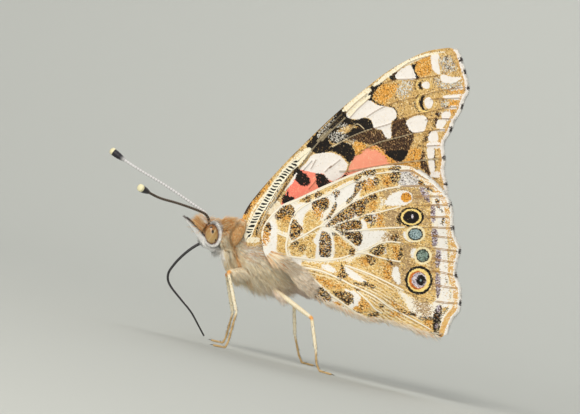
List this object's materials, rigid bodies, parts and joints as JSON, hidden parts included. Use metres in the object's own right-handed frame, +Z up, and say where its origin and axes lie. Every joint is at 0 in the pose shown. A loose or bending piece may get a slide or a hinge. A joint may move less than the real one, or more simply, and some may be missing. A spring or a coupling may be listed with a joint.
{
  "type": "painted lady butterfly",
  "caption": "Life-size butterfly standing with closed, veined wings, feelers spread forward and tongue half uncoiled: a still display model.",
  "frame": {"origin": "bottom centre of the part's box, at the level of the four soles", "axes": "+Z up, head towards -X, the insect's left side towards -Y"},
  "size_m": [0.038, 0.0146, 0.0345],
  "materials": {
    "forewing": "matt scales, black, white and salmon patches on ochre",
    "hindwing": "matt scales, marbled ochre, white and brown with ringed spots",
    "fur": "hair, buff to grey over a dark body",
    "collar": "short orange-brown hair",
    "face": "short white and ochre hair",
    "eye": "glossy gold-brown with dark flecks",
    "feeler": "dark with fine white rings and a cream tip",
    "tongue": "glossy blackish tube",
    "leg": "cream scales, orange at the knees"
  },
  "bodies": {
    "root": {"head": "face", "prothorax": "collar", "thorax": "fur", "abdomen": "fur", "eye_left": "eye", "eye_right": "eye", "palp_left": "face", "palp_right": "face", "antenna_left": "feeler", "antenna_right": "feeler", "proboscis_upper": "tongue", "proboscis_bend": "tongue", "proboscis_lower": "tongue", "tegula_left": "collar", "tegula_right": "collar", "forewing_left": "forewing", "forewing_right": "forewing", "hindwing_left": "hindwing", "hindwing_right": "hindwing", "foreleg_left": "fur", "foreleg_right": "fur", "mid_femur_left": "leg", "mid_tibia_left": "leg", "mid_tarsus_left": "leg", "mid_femur_right": "leg", "mid_tibia_right": "leg", "mid_tarsus_right": "leg", "hind_femur_left": "leg", "hind_tibia_left": "leg", "hind_tarsus_left": "leg", "hind_femur_right": "leg", "hind_tibia_right": "leg", "hind_tarsus_right": "leg"}
  },
  "joints": []
}
